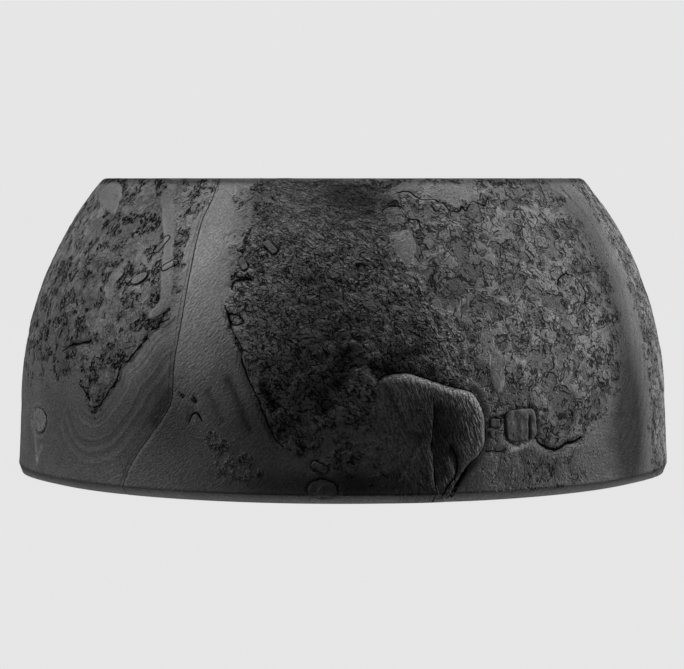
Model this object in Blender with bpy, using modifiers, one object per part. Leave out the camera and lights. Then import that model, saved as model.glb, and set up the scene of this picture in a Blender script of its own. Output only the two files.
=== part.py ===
"""Basalt massage stone: a flat-topped dome of dark basalt with mineral grains set in its side.

Run with: blender --background --python part.py
Metres, +Z up. The origin is the centre of the flat base. Angles go round +Z, from the front
(-Y) towards the right (+X). Each grain is a plug of its own, flush with the stone's side, in a
pocket that is one clearance larger all round.
"""

import math
from dataclasses import dataclass

import bpy
from mathutils import Matrix, Vector

# Stone body, metres.
HEIGHT = 0.0358
FOOT_RADIUS = 0.0400
TOP_RADIUS = 0.0295
WALL_HEIGHT = 0.0080
WALL_FLARE = 0.0003
TOP_EDGE_FILLET = 0.0010
CHAMFER_WIDTH = 0.0013
CHAMFER_HEIGHT = 0.00105

# Gaps, metres: round each grain, and between neighbouring grains.
GRAIN_CLEARANCE = 0.0003
CHIP_GAP = 0.0009
FOOT_LATH_GAP = 0.0006

# Facets of the turned body and of the round grains.
TURN_STEPS = 96
SIDE_STEPS = 16
FILLET_STEPS = 4
OVAL_SEGMENTS = 28
OVAL_RINGS = 14
ROUNDING_SEGMENTS = 3
SMOOTH_ANGLE = math.radians(30)
MERGE_DISTANCE = 0.00001


@dataclass
class Grain:
    """One mineral grain: where it sits on the side, its size and its look.

    angle is in degrees and height is its centre's, in metres above the base. lean turns it, in
    degrees, about the outward normal, and depth is how far it reaches into the stone. A rounding
    of zero makes an oval grain, any other a block with rounded edges.
    """

    name: str
    angle: float
    height: float
    width: float
    tall: float
    depth: float
    lean: float
    rounding: float
    material: str


def on_dome(share):
    """Height of a point at this share of the way up the domed side."""
    return WALL_HEIGHT + share * (HEIGHT - WALL_HEIGHT)


def beside(grain, width, gap):
    """Angle of a piece of this width on the grain's left, with this gap between the two."""
    return grain.angle - math.degrees((grain.width / 2 + gap + width / 2) / FOOT_RADIUS)


def above(grain, width, tall, lean, gap):
    """Height of a leaning piece over the grain, with this gap between the two."""
    turn = math.radians(abs(lean))
    reach = (width * math.sin(turn) + tall * math.cos(turn)) / 2
    return grain.height + grain.tall / 2 + gap + reach


BLOCK = Grain("block_clast", 30.2, WALL_HEIGHT + 0.0003, 0.0040, 0.0036, 0.0018, 4, 0.0009, "clast")
CHIP_WIDTH = 0.0011
EDGE = Grain("edge_clast", -3.2, CHAMFER_HEIGHT + 0.00055, 0.0034, 0.0025, 0.0015, -8, 0, "clast")
FOOT_WIDTH, FOOT_TALL, FOOT_LEAN = 0.0018, 0.0007, -26

GRAINS = (
    BLOCK,
    Grain("corner_chip", beside(BLOCK, CHIP_WIDTH, CHIP_GAP), BLOCK.height + 0.0004,
          CHIP_WIDTH, 0.0009, 0.0008, 0, 0.0002, "clast"),
    EDGE,
    Grain("foot_lath", -3.7, above(EDGE, FOOT_WIDTH, FOOT_TALL, FOOT_LEAN, FOOT_LATH_GAP),
          FOOT_WIDTH, FOOT_TALL, 0.0007, FOOT_LEAN, 0.0002, "crystal"),
    Grain("pale_amygdale", -64.8, WALL_HEIGHT - 0.0007, 0.0050, 0.0029, 0.0014, 0, 0, "amygdale"),
    Grain("crystal_leaf", -39.5, on_dome(0.594), 0.0024, 0.0011, 0.0008, 28, 0, "crystal"),
    Grain("crystal_lath", -13.5, on_dome(0.727), 0.0020, 0.0007, 0.0007, -44, 0.0002, "crystal"),
    Grain("hook_crystal", -18.2, on_dome(0.658), 0.0014, 0.0007, 0.0006, -58, 0.0002, "crystal"),
)

# Materials: linear colour and roughness. None is metallic.
LOOKS = {
    "basalt": ((0.075, 0.074, 0.073), 0.55),
    "clast": ((0.065, 0.064, 0.063), 0.60),
    "amygdale": ((0.145, 0.138, 0.132), 0.50),
    "crystal": ((0.120, 0.118, 0.115), 0.45),
}


def side_arc():
    """Radius and centre distance of the arc that rises from the wall to the top's edge.

    The arc leaves the wall upright and passes through the corner of the flat top.
    """
    wall_radius = FOOT_RADIUS - WALL_FLARE
    rise = HEIGHT - WALL_HEIGHT
    run = wall_radius - TOP_RADIUS
    arc_radius = (rise ** 2 + run ** 2) / (2 * run)
    return arc_radius, wall_radius - arc_radius


def arc_points(centre_r, centre_z, radius, start, end, steps):
    """(radius, height) points of an arc in the profile's plane, both ends included."""
    turns = [start + (end - start) * i / steps for i in range(steps + 1)]
    return [(centre_r + radius * math.cos(t), centre_z + radius * math.sin(t)) for t in turns]


def side_profile():
    """(radius, height) points from the axis on top, down the outer side, to the axis below."""
    arc_radius, arc_centre = side_arc()
    fillet_z = HEIGHT - TOP_EDGE_FILLET
    reach = arc_radius - TOP_EDGE_FILLET
    meet = math.asin((fillet_z - WALL_HEIGHT) / reach)
    fillet_r = arc_centre + reach * math.cos(meet)
    fillet = arc_points(fillet_r, fillet_z, TOP_EDGE_FILLET, math.pi / 2, meet, FILLET_STEPS)
    dome = arc_points(arc_centre, WALL_HEIGHT, arc_radius, meet, 0, SIDE_STEPS)
    foot = [(FOOT_RADIUS, CHAMFER_HEIGHT), (FOOT_RADIUS - CHAMFER_WIDTH, 0)]
    return [(0, HEIGHT)] + fillet + dome[1:] + foot + [(0, 0)]


def side_frame(angle, height):
    """Matrix of a point on the side: X to the right, Y up the slope, Z straight out."""
    arc_radius, arc_centre = side_arc()
    climb = max(height - WALL_HEIGHT, 0)
    drop = min(max(WALL_HEIGHT - height, 0) / (WALL_HEIGHT - CHAMFER_HEIGHT), 1)
    radius = arc_centre + math.sqrt(arc_radius ** 2 - climb ** 2) + WALL_FLARE * drop
    lift = math.asin(climb / arc_radius)
    turn = math.radians(angle)
    outward = Vector((math.sin(turn), -math.cos(turn), 0))
    right = Vector((math.cos(turn), math.sin(turn), 0))
    normal = outward * math.cos(lift) + Vector((0, 0, math.sin(lift)))
    upward = normal.cross(right)
    place = outward * radius + Vector((0, 0, height))
    return Matrix.Translation(place) @ Matrix((right, upward, normal)).transposed().to_4x4()


def clear_scene():
    for thing in list(bpy.data.objects):
        bpy.data.objects.remove(thing)


def new_collection(name):
    group = bpy.data.collections.new(name)
    bpy.context.scene.collection.children.link(group)
    return group


def make_material(name):
    colour, roughness = LOOKS[name]
    material = bpy.data.materials.new(name)
    material.use_nodes = True
    shader = material.node_tree.nodes["Principled BSDF"]
    shader.inputs["Base Color"].default_value = (*colour, 1)
    shader.inputs["Roughness"].default_value = roughness
    shader.inputs["Metallic"].default_value = 0
    material.diffuse_color = (*colour, 1)
    return material


def place_in(group, thing, parent=None):
    for other in list(thing.users_collection):
        other.objects.unlink(thing)
    group.objects.link(thing)
    thing.parent = parent


def hide_guide(thing):
    thing.hide_render = True
    thing.display_type = "WIRE"


def turned_body(name):
    """The stone's outer form: its side profile turned once round +Z."""
    points = side_profile()
    mesh = bpy.data.meshes.new(name)
    mesh.from_pydata([(r, 0, z) for r, z in points], [(i, i + 1) for i in range(len(points) - 1)], [])
    body = bpy.data.objects.new(name, mesh)
    screw = body.modifiers.new("turn", "SCREW")
    screw.axis = "Z"
    screw.steps = TURN_STEPS
    screw.render_steps = TURN_STEPS
    screw.use_merge_vertices = True
    screw.merge_threshold = MERGE_DISTANCE
    screw.use_smooth_shade = True
    return body


def grain_form(grain, name, extra):
    """A grain's full form, centred on the side, with every half-size larger by extra."""
    half = Vector((grain.width / 2, grain.tall / 2, grain.depth)) + Vector((extra, extra, extra))
    if grain.rounding:
        bpy.ops.mesh.primitive_cube_add(size=2)
    else:
        bpy.ops.mesh.primitive_uv_sphere_add(segments=OVAL_SEGMENTS, ring_count=OVAL_RINGS, radius=1)
    form = bpy.context.object
    form.name = name
    form.data.name = name
    form.data.transform(Matrix.Diagonal((*half, 1)))
    if grain.rounding:
        bevel = form.modifiers.new("rounding", "BEVEL")
        bevel.width = min(grain.rounding + extra, 0.9 * min(half))
        bevel.segments = ROUNDING_SEGMENTS
    lean = Matrix.Rotation(math.radians(grain.lean), 4, "Z")
    form.matrix_world = side_frame(grain.angle, grain.height) @ lean
    form.data.shade_smooth()
    form.data.set_sharp_from_angle(angle=SMOOTH_ANGLE)
    return form


def add_boolean(thing, operation, other):
    cut = thing.modifiers.new(operation.lower(), "BOOLEAN")
    cut.operation = operation
    cut.solver = "EXACT"
    cut.object = other


def build():
    clear_scene()
    stone = new_collection("basalt_massage_stone")
    cutters = new_collection("cutters")
    materials = {name: make_material(name) for name in LOOKS}

    origin = bpy.data.objects.new("stone_origin", None)
    stone.objects.link(origin)

    envelope = turned_body("stone_envelope")
    place_in(cutters, envelope)
    hide_guide(envelope)

    body = turned_body("stone_body")
    body.data.materials.append(materials["basalt"])
    place_in(stone, body, origin)

    for grain in GRAINS:
        piece = grain_form(grain, grain.name, 0)
        piece.data.materials.append(materials[grain.material])
        place_in(stone, piece, origin)
        add_boolean(piece, "INTERSECT", envelope)

        pocket = grain_form(grain, grain.name + "_pocket", GRAIN_CLEARANCE)
        place_in(cutters, pocket)
        hide_guide(pocket)
        add_boolean(body, "DIFFERENCE", pocket)


build()
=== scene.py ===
"""Looks of the basalt massage stone: weathered skin, mineral grains, studio light and camera.

The relief is worked out in millimetres on the stone's ideal side. A place on the side is an
(angle, height) pair: degrees round +Z from the front (-Y) towards the right (+X), and millimetres
above the base.
"""

import itertools
import math
from types import SimpleNamespace

import bpy
import numpy as np
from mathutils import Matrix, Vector
from mathutils.bvhtree import BVHTree

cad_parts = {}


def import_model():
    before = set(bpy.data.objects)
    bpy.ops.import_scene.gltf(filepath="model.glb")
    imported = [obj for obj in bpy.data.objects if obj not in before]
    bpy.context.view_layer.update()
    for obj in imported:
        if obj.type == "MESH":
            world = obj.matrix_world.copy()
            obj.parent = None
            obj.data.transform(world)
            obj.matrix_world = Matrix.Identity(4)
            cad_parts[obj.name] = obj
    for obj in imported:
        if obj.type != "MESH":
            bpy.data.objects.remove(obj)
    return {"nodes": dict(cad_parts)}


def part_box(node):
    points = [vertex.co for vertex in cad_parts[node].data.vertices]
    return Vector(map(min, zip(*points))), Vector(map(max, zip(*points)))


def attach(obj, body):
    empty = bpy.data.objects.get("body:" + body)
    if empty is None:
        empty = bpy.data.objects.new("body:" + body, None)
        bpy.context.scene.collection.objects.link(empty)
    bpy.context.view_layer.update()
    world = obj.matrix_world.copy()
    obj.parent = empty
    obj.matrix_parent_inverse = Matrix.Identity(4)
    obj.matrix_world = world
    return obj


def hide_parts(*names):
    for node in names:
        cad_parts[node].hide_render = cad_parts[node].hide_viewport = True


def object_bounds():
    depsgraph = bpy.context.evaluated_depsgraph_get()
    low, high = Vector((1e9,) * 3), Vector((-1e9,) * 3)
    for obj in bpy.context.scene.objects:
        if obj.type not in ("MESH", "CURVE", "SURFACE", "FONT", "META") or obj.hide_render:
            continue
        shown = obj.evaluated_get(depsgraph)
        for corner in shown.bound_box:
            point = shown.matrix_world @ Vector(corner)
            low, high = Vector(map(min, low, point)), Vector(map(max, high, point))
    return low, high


MM = 0.001

# The side's profile, mm. The foot's radius and the height come from the frame.
TOP_RADIUS = 29.5
WALL_HEIGHT = 8.0
WALL_FLARE = 0.3
TOP_EDGE_FILLET = 1.0
CHAMFER_WIDTH = 1.3
CHAMFER_HEIGHT = 1.05
CHAMFER_WEAR = 0.7

# Mesh pitch, mm: the front's columns, the back's, the rows and the flat faces.
FRONT_PITCH = 0.31
BACK_PITCH = 0.56
ROW_PITCH = 0.31
FLAT_PITCH = 0.8
EDGE_ROW = 0.09
FRONT_HALF_ANGLE = 100

# Noise patterns of the relief, each with its seed.
NOISE_SEEDS = {
    "swell": 11, "zones": 12, "warp_x": 13, "warp_y": 14, "warp_z": 15, "leaves": 16, "plates": 17,
    "pits": 18, "clusters": 19, "hatch": 21, "wobble": 29, "girth": 30,
}
GRAIN_SEED = 71
# Levels of the plate noise at which one plate steps over the next.
PLATE_EDGES = (-0.22, 0.20)
# The relief's highest point over the ideal skin, and the depth of the grains' dents, mm.
MOST_RISE = 0.30
DENT = 0.34

# Outlines and lines on the side, as (angle, height) pairs.
FISSURE = [(-28.5, 36.5), (-28.3, 33.5), (-28.9, 31), (-28.5, 26), (-28.3, 20.5), (-28.8, 15),
           (-28.8, 11.3), (-30, 9.6), (-32, 7.8), (-34.2, 6), (-36.2, 4.3), (-37.6, 2.6), (-39, 0)]
ROUGH_EDGE = [(-16.4, 35.5), (-18.7, 34.2), (-18.5, 32.5), (-16.6, 31.6), (-18.2, 29.8),
              (-18.6, 28), (-19.7, 26.4), (-19.6, 23.4)]
FOLD_EDGE = [(-20.4, 21.9), (-19.5, 20.4), (-18.9, 19.1), (-16.9, 17.1), (-16.8, 16.2),
             (-15.8, 14.2), (-14.4, 12.6), (-13.1, 10.6), (-12, 8.8), (-11, 7.3), (-9.2, 6.3)]
FURROW = [(-19.4, 14.2), (-18.1, 12.8), (-16.6, 10.8), (-15.8, 9.3), (-14.2, 7.2)]
SHORT_FURROW = [(-22.8, 12.7), (-20.6, 10.5), (-19.4, 8.4)]
INNER_FURROW = [(-13.2, 13.6), (-12.2, 11.9), (-10.4, 10.2)]
SEAM = [(-28.5, 14.2), (-27.1, 12), (-24.6, 11.2), (-25.3, 9.9)]
CURL = [(-25.5, 8.5), (-25.1, 9.6), (-24.2, 9.8), (-23, 9)]
TONGUE = [(-30.4, 20.3), (-34.4, 18.6), (-37.2, 16), (-40, 14.5), (-40.5, 13.1), (-43.2, 10.9),
          (-45.1, 9.7), (-47.3, 9.9), (-47.1, 10.8), (-49.9, 12.4)]
LEFT_CLEFT = [(-57.3, 15.7), (-54.2, 16.6), (-50, 17), (-48.2, 17.4)]
DOUBLE_CLEFT = [(-19.6, 23.4), (-19.5, 24.2), (-18.4, 24.6), (-16, 24.6)]
UPPER_CLEFT = [(-19.3, 25.4), (-19, 24.9), (-16.8, 24.9)]
BEAK = [(-19.8, 20.8), (-18.1, 20.7), (-16.8, 20), (-18.4, 19.6), (-19.3, 20.1)]
THREAD = [(-16.7, 27.4), (-14.8, 28.3)]
LUMP_RIM = [(5.3, 13.4), (6.4, 14.1), (8, 14.4), (10.3, 14.5), (12.3, 14.1), (14.5, 13.6),
            (17, 13), (19.3, 12.6), (21.2, 12.2), (22.4, 11.1), (23.2, 9.8), (23.5, 8), (23.3, 6.3),
            (22.2, 5.1), (20.4, 4), (18.3, 2.1), (16.8, 0.3)]
CREASE = [(14.4, 12), (14.6, 9.5), (14.2, 6.5), (14.5, 4.6), (14.8, 0)]
INNER_FOLD = [(17.1, 6.7), (17.8, 5.7), (18.4, 4.7), (18.3, 3.3), (17.5, 2.5), (16.3, 1.3),
              (15.7, 0.4)]
OUTER_FOLD = [(21.3, 4.7), (20.4, 3.7), (18.9, 2.2), (17.6, 0.4)]
VALLEY = [(1.4, 18.2), (0.6, 15.5), (-1, 13.5), (-3.4, 11.8), (-1.5, 9.5)]
HOLLOW = [(13.5, 17), (10, 16.2), (6.8, 15.2), (4.4, 14.2)]
# Where the lump's rim gets a painted highlight.
RIM_PAINTED_HIGHLIGHT = [(8, 13.9), (10.3, 13.95), (12.3, 13.6), (14.5, 13.1), (17, 12.45), (19.3, 12.05),
             (20.9, 11.6), (21.9, 10.7), (22.5, 9.6)]
WEDGE = [(-29.6, 13), (-30.6, 10.4), (-33.2, 8.2)]
LEFT_TAIL = [(-66.8, 5.5), (-65.3, 3.7), (-65, 2.4)]
RIGHT_TAIL = [(-62.5, 4.7), (-64, 3.2), (-65, 1.8)]
WRINKLES = [[(29.6, 5.6), (30.6, 3.4), (30.2, 1.6)], [(33.8, 4.7), (34.2, 2.8), (33.4, 1.4)],
            [(37.4, 4.4), (36.6, 3), (36.9, 1.5)], [(41.2, 5.2), (40.2, 3.4), (40.6, 2)],
            [(26.4, 5.4), (25.6, 3.2), (24, 1.8)]]
BACK_CRACKS = [[(148, 35.5), (146, 29), (150, 22), (147, 14), (151, 6), (150, 2)],
               [(-118, 27), (-124, 21), (-122, 15), (-130, 9)], [(103, 12), (110, 9.5), (119, 10.5)]]
JAG = [(32.7, 7), (33.9, 6), (36.1, 5.4), (37.4, 5.3), (39.4, 5.9), (42, 6.1), (43.5, 6.6)]
LEDGE = [(27.6, 5.7), (30.5, 6.2), (32.7, 6.9)]
LEDGE_FOOT = [(23.2, 5.6), (25.4, 5.5), (27.6, 5.7)]
MARGIN = [(55.6, 34.5), (57.6, 32.6), (59.8, 30.1), (60.5, 27), (61, 24.5), (59.9, 21.5),
          (59.2, 18.5), (58, 16.3), (56.6, 13.3), (54.4, 11.5), (53.1, 9.4), (50.6, 8.1), (49.2, 6.2),
          (48.4, 3)]
TOP_FLAKE = [(11.6, 34.1), (14.1, 34.3), (15.5, 33.7), (17, 33.4), (18.9, 33.4), (21, 33.1),
             (22, 32.3), (23.7, 32.1), (25, 32.8), (25.8, 32.2), (27.7, 33.3), (29.1, 33.1),
             (30.6, 32.8), (32.2, 33.8)]
PALE_FLAKE = [(7.8, 32), (8.2, 32.4), (9.5, 32.7), (11.6, 32.7)]
LOW_FLAKE = [(12.1, 31.6), (13, 31.2), (14.8, 31.2), (14.9, 30), (15.9, 29.6)]
LEFT_FACET = [(-68, 35.3), (-61, 35), (-57, 34), (-55.7, 33), (-54.6, 31.6), (-59, 32),
              (-67.8, 33.2), (-70.5, 34.4)]
PALE_STRIP = [(-42.4, 34.1), (-39.5, 34.2), (-34.7, 30), (-32.8, 27), (-31.2, 23.2), (-31.4, 21.4),
              (-34.5, 20), (-35.2, 20.7), (-33.6, 22.3), (-34.7, 25.4), (-36.4, 28.7), (-39.5, 31.5)]
LONG_ROD = [(-37.6, 27.7), (-35.7, 29)]
SHORT_ROD = [(-34.2, 25.7), (-32.2, 26.4)]
OVAL_PLATE = [(24.6, 14.5), (25, 16.4), (26, 17), (27, 16.3), (27.3, 14.6), (26.9, 12.6), (26, 12),
              (25, 12.8)]
UPPER_PLATE = [(9.8, 28.6), (11, 29.6), (12.6, 30), (13.6, 28.8), (13, 27.2), (11.6, 26.4),
               (10.4, 27.2)]
SWIRL = [(41.5, 23), (42.6, 24.4), (45, 24.9), (47.6, 24.3), (48.8, 22.8), (47.5, 21.4)]
DASH_COLUMN = [(-36, 34), (-32.5, 30), (-30.5, 25), (-30, 22)]

# Zones of the side, as closed outlines.
LEFT_ROCK = [(-100, 37), (-33, 37), (-31, 30), (-31, 21), (-35, 18.4), (-40, 14.4), (-43.5, 10.9),
             (-45.5, 9.4), (-47.5, 10), (-48, 13), (-52, 13.6), (-57, 12), (-64, 8), (-100, 5)]
CENTRE_ROCK = [(-15.5, 37), (-18.7, 34.2), (-17.5, 32), (-18.3, 29.8), (-19.6, 26.4), (-19.8, 23.4),
               (-20.4, 21.9), (-19, 19.1), (-16.9, 16.5), (-14.4, 12.6), (-12, 8.8), (-9.2, 6.3),
               (-3, 4), (4, 2), (12, 2), (14, 9), (22, 13.5), (20, 20), (14, 26), (11, 31), (8, 37)]
RIGHT_FLAKES = [(6, 37), (10, 31), (12, 26), (18, 20), (20.6, 14.3), (23.3, 11.2), (24.3, 8.5),
                (24.6, 6.4), (33, 7), (36, 5.4), (43, 6.5), (50, 9), (56, 13), (59, 19), (60, 25),
                (58, 31), (55, 37)]
LOW_WALL = [(25, 7), (33, 7), (37, 5), (46, 7), (44, 1.2), (22, 1.2)]
BAND_PITS = [(-24.5, 35), (-23, 32), (-23.8, 28), (-21.8, 25.5), (-19, 25), (-17, 29), (-14.5, 31),
             (-14, 35)]
PEBBLES = [(-23.8, 8.1), (-21, 8), (-18.6, 6.9), (-14.9, 5.4), (-12.9, 4.6), (-12.9, 2.6),
           (-20.5, 2.4), (-22, 5.2)]
CALM_FOOT = [(-3, 9), (3, 9), (6.5, 9), (9, 2), (-7, 2), (-7, 5)]
TOP_PATCH = [(8.1, 32.9), (9.7, 34.8), (14.8, 35.4), (24.3, 35.4), (30.3, 34.4), (29, 33.2),
             (25.8, 32.6), (23.7, 32.5), (20.5, 33.2), (16.3, 33.7), (11.8, 33.5)]
LUMP = LUMP_RIM + [(9, 0.3), (7, 5), (5.6, 9)]
FOLD = [(-30, 20.5), (-28.6, 15), (-28.8, 11), (-32, 7.8), (-37.6, 2.6), (-39, 0.5), (-58, 0.5),
        (-58, 9), (-49, 9.5), (-45, 9.6), (-40, 14.4), (-35, 18.4)]


def smoothstep(value, low, high):
    share = np.clip((value - low) / (high - low), 0, 1)
    return share * share * (3 - 2 * share)


class Noise:
    """Gradient noise in space, about -1 to 1. Each seed is a pattern of its own."""

    def __init__(self, seed):
        random = np.random.default_rng(seed)
        self.order = random.permutation(256)
        ways = random.normal(size=(256, 3))
        self.ways = ways / np.linalg.norm(ways, axis=1)[:, None]

    def way(self, cell):
        turn = self.order[cell[:, 0] & 255]
        turn = self.order[(turn + cell[:, 1]) & 255]
        return self.ways[self.order[(turn + cell[:, 2]) & 255]]

    def __call__(self, points):
        cell = np.floor(points).astype(int)
        rest = points - cell
        fade = rest ** 3 * (rest * (rest * 6 - 15) + 10)
        total = np.zeros(len(points))
        for corner in itertools.product((0, 1), repeat=3):
            corner = np.array(corner)
            slope = ((rest - corner) * self.way(cell + corner)).sum(axis=1)
            total += slope * np.prod(np.where(corner, fade, 1 - fade), axis=1)
        return total * 1.7


def layered(noise, points, octaves, gain=0.5):
    """Noise summed over octaves, each twice as fine as the one before."""
    total = np.zeros(len(points))
    size = 1.0
    for octave in range(octaves):
        total += size * noise(points * 2 ** octave + 17.3 * octave)
        size *= gain
    return total


def ridged(noise, points, octaves):
    """Sharp crests at 1, and round valleys towards 0."""
    total = np.zeros(len(points))
    size = 0.5
    for octave in range(octaves):
        total += size * (1 - np.abs(noise(points * 2 ** octave + 9.1 * octave)) * 1.6)
        size *= 0.5
    return total


class Profile:
    """The ideal side as (radius, height) in mm, from the base's edge up to the flat top."""

    def __init__(self, foot_radius, height):
        self.foot_radius = foot_radius
        self.height = height
        self.wall_radius = foot_radius - WALL_FLARE
        rise = height - WALL_HEIGHT
        run = self.wall_radius - TOP_RADIUS
        self.arc_radius = (rise ** 2 + run ** 2) / (2 * run)
        self.arc_centre = self.wall_radius - self.arc_radius
        reach = self.arc_radius - TOP_EDGE_FILLET
        self.meet = math.asin((height - TOP_EDGE_FILLET - WALL_HEIGHT) / reach)
        self.fillet_centre = self.arc_centre + reach * math.cos(self.meet)

    def radius_at(self, height):
        """Radius of the wall and dome at a height."""
        climb = np.clip(height - WALL_HEIGHT, 0, self.height - WALL_HEIGHT)
        drop = np.clip((WALL_HEIGHT - height) / (WALL_HEIGHT - CHAMFER_HEIGHT), 0, 1)
        low = np.clip((CHAMFER_HEIGHT - height) / CHAMFER_HEIGHT, 0, 1)
        dome = self.arc_centre + np.sqrt(self.arc_radius ** 2 - climb ** 2)
        return dome + WALL_FLARE * drop - CHAMFER_WIDTH * low

    def straight(self, start, end):
        """Points from start to end, both kept, with a close row beside each corner."""
        length = math.dist(start, end)
        steps = np.linspace(0, length, max(2, round(length / ROW_PITCH)) + 1)
        steps = np.unique(np.concatenate([steps, [EDGE_ROW, length - EDGE_ROW]]))
        share = (steps / length)[:, None]
        return np.array(start) * (1 - share) + np.array(end) * share

    def arc(self, centre, radius, start, end, pitch):
        turns = np.linspace(start, end, round(radius * abs(end - start) / pitch) + 1)
        return np.stack([centre[0] + radius * np.cos(turns), centre[1] + radius * np.sin(turns)], 1)

    def rows(self):
        """(radius, height) of each row and its outward direction in the same plane."""
        foot = (self.foot_radius, CHAMFER_HEIGHT)
        wall_top = (self.wall_radius, WALL_HEIGHT)
        chamfer = self.straight((self.foot_radius - CHAMFER_WIDTH, 0), foot)
        wall = self.straight(foot, wall_top)
        dome = self.arc((self.arc_centre, WALL_HEIGHT), self.arc_radius, 0, self.meet, ROW_PITCH)
        fillet = self.arc((self.fillet_centre, self.height - TOP_EDGE_FILLET), TOP_EDGE_FILLET,
                          self.meet, math.pi / 2, 0.14)
        points = np.concatenate([chamfer, wall[1:], dome[1:], fillet[1:]])
        ways = np.diff(points, axis=0)
        ways /= np.linalg.norm(ways, axis=1)[:, None]
        along = np.concatenate([ways[:1], ways[:-1] + ways[1:], ways[-1:]])
        along /= np.linalg.norm(along, axis=1)[:, None]
        out = np.stack([along[:, 1], -along[:, 0]], axis=1)
        out[-1] = (0, 1)
        return points, out


def round_turns():
    """The columns' angles in degrees, close together at the front and wider at the back."""
    front_step = math.degrees(FRONT_PITCH / 40)
    back_step = math.degrees(BACK_PITCH / 40)
    front_count = round(2 * FRONT_HALF_ANGLE / front_step)
    back_count = round(2 * (180 - FRONT_HALF_ANGLE) / back_step)
    front = np.linspace(-FRONT_HALF_ANGLE, FRONT_HALF_ANGLE, front_count, endpoint=False)
    back = np.linspace(FRONT_HALF_ANGLE, 360 - FRONT_HALF_ANGLE, back_count, endpoint=False)
    back = np.where(back >= 180, back - 360, back)
    return np.sort(np.concatenate([front, back]))


def zip_rings(outer, outer_turns, inner, inner_turns):
    """Triangles that face up between two closed rings of vertex numbers."""
    faces = []
    i = j = 0
    outer_ends = np.append(outer_turns[1:], outer_turns[0] + 360)
    inner_ends = np.append(inner_turns[1:], inner_turns[0] + 360)
    while i < len(outer) or j < len(inner):
        here = outer[i % len(outer)], inner[j % len(inner)]
        if j == len(inner) or (i < len(outer) and outer_ends[i] <= inner_ends[j]):
            i += 1
            faces.append((here[0], outer[i % len(outer)], here[1]))
        else:
            j += 1
            faces.append((here[0], inner[j % len(inner)], here[1]))
    return faces


class Skin:
    """The stone's whole surface as points, outward directions and faces, in mm."""

    def __init__(self, profile):
        self.profile = profile
        self.turns = round_turns()
        rows, outs = profile.rows()
        self.row_count = len(rows)
        self.column_count = len(self.turns)
        grid_turns = np.tile(np.radians(self.turns), self.row_count)
        spread = np.repeat(rows, self.column_count, axis=0)
        aim = np.repeat(outs, self.column_count, axis=0)
        self.points = around(grid_turns, spread[:, 0], spread[:, 1])
        self.out = around(grid_turns, aim[:, 0], aim[:, 1])
        self.narrow_chamfer()
        self.faces = self.side_faces()
        self.side_count = len(self.points)
        top_ring = np.arange(self.column_count) + (self.row_count - 1) * self.column_count
        self.add_disc(top_ring, rows[-1, 0], rows[-1, 1], 1)
        self.add_disc(np.arange(self.column_count), rows[0, 0], 0, -1)
        self.angle = np.degrees(np.arctan2(self.points[:, 0], -self.points[:, 1]))
        self.height = self.points[:, 2]

    def narrow_chamfer(self):
        """The foot's chamfer is worn narrow at the stone's left and right."""
        angle = np.degrees(np.arctan2(np.abs(self.points[:, 0]), np.abs(self.points[:, 1])))
        low = np.clip((CHAMFER_HEIGHT - self.points[:, 2]) / CHAMFER_HEIGHT, 0, 1)
        push = CHAMFER_WIDTH * low * CHAMFER_WEAR * smoothstep(angle, 58, 80)
        radius = np.linalg.norm(self.points[:, :2], axis=1)
        self.points[:, :2] *= (1 + push / radius)[:, None]

    def side_faces(self):
        columns = np.arange(self.column_count)
        after = (columns + 1) % self.column_count
        faces = []
        for row in range(self.row_count - 1):
            low = row * self.column_count
            high = low + self.column_count
            quads = np.stack([low + columns, low + after, high + after, high + columns], axis=1)
            faces.extend(quads.tolist())
        return faces

    def add_disc(self, ring, radius, height, facing):
        """Closes the side with rings of points that get fewer towards the middle."""
        ring_turns = self.turns
        pitch = FRONT_PITCH
        radius -= pitch
        while radius > FLAT_PITCH:
            pitch = min(pitch * 1.25, FLAT_PITCH)
            count = max(6, round(2 * math.pi * radius / pitch))
            turns = np.linspace(-180, 180, count, endpoint=False)
            ring, ring_turns = self.add_ring(ring, ring_turns, turns, radius, height, facing)
            radius -= pitch * 0.9
        self.add_ring(ring, ring_turns, np.array([-180.0]), 0, height, facing)

    def add_ring(self, outer, outer_turns, turns, radius, height, facing):
        inner = np.arange(len(turns)) + len(self.points)
        turned = np.radians(turns)
        self.points = np.concatenate([self.points, around(turned, radius, height)])
        self.out = np.concatenate([self.out, np.tile([0, 0, facing], (len(turns), 1))])
        made = zip_rings(outer, outer_turns, inner, turns)
        made = [face for face in made if len(set(face)) == 3]
        self.faces += made if facing > 0 else [face[::-1] for face in made]
        return inner, turns


def around(turns, radius, height):
    """Points from angles in radians, radii and heights."""
    radius, height = np.broadcast_to(radius, turns.shape), np.broadcast_to(height, turns.shape)
    return np.stack([radius * np.sin(turns), -radius * np.cos(turns), height], axis=1)


def rounded(places, per_span=6, closed=False):
    """A smooth curve through the places, as more places."""
    places = np.array(places, float)
    before = places[-1:] if closed else 2 * places[:1] - places[1:2]
    after = places[:2] if closed else 2 * places[-1:] - places[-2:-1]
    padded = np.concatenate([before, places, after])
    spans = len(places) if closed else len(places) - 1
    share = np.linspace(0, 1, per_span, endpoint=False)[:, None]
    made = []
    for i in range(spans):
        a, b, c, d = padded[i:i + 4]
        bend = 2 * a - 5 * b + 4 * c - d
        twist = 3 * b - a - 3 * c + d
        made.append(b + 0.5 * share * ((c - a) + share * (bend + share * twist)))
    return np.concatenate(made + ([] if closed else [places[-1:]]))


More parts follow.
